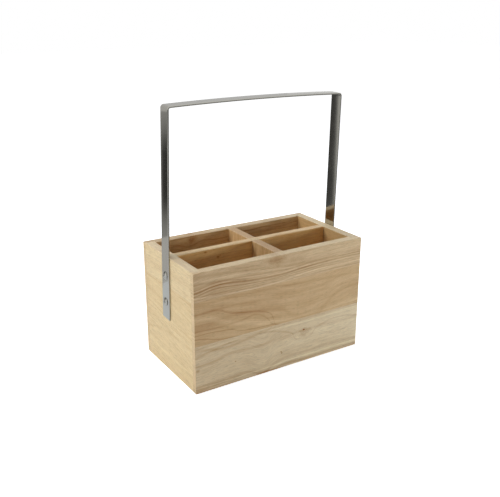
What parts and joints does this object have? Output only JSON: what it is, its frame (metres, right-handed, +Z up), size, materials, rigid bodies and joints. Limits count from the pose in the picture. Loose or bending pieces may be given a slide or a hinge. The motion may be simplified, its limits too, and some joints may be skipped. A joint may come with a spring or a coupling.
{
  "type": "utensil caddy",
  "caption": "Open wooden box for table cutlery, split by crossed dividers, with a tall bent flat-steel carrying handle screwed to its ends.",
  "frame": {"origin": "middle of the box's underside, which is also the bottom centre of the whole object's bounding box", "axes": "+X along the box's length, towards its right end; -Y is the front; +Z up"},
  "size_m": [0.2486, 0.132, 0.3272],
  "materials": {
    "wall_wood": "pale edge-glued rubberwood, sanded, thin matt oil",
    "inner_wood": "pale rubberwood, sanded, thin matt oil",
    "strap_steel": "flat stainless bar, brushed along its length, half bright",
    "screw_steel": "bright stainless screw heads"
  },
  "bodies": {
    "root": {"front_board_top": "wall_wood", "front_board_middle": "wall_wood", "front_board_bottom": "wall_wood", "back_board_top": "wall_wood", "back_board_middle": "wall_wood", "back_board_bottom": "wall_wood", "left_board_top": "wall_wood", "left_board_middle": "wall_wood", "left_board_bottom": "wall_wood", "right_board_top": "wall_wood", "right_board_middle": "wall_wood", "right_board_bottom": "wall_wood", "floor_board_front": "inner_wood", "floor_board_back": "inner_wood", "long_divider_upper": "inner_wood", "long_divider_lower": "inner_wood", "cross_divider_upper": "inner_wood", "cross_divider_lower": "inner_wood", "handle_strap": "strap_steel", "handle_screws": "screw_steel"}
  },
  "joints": []
}
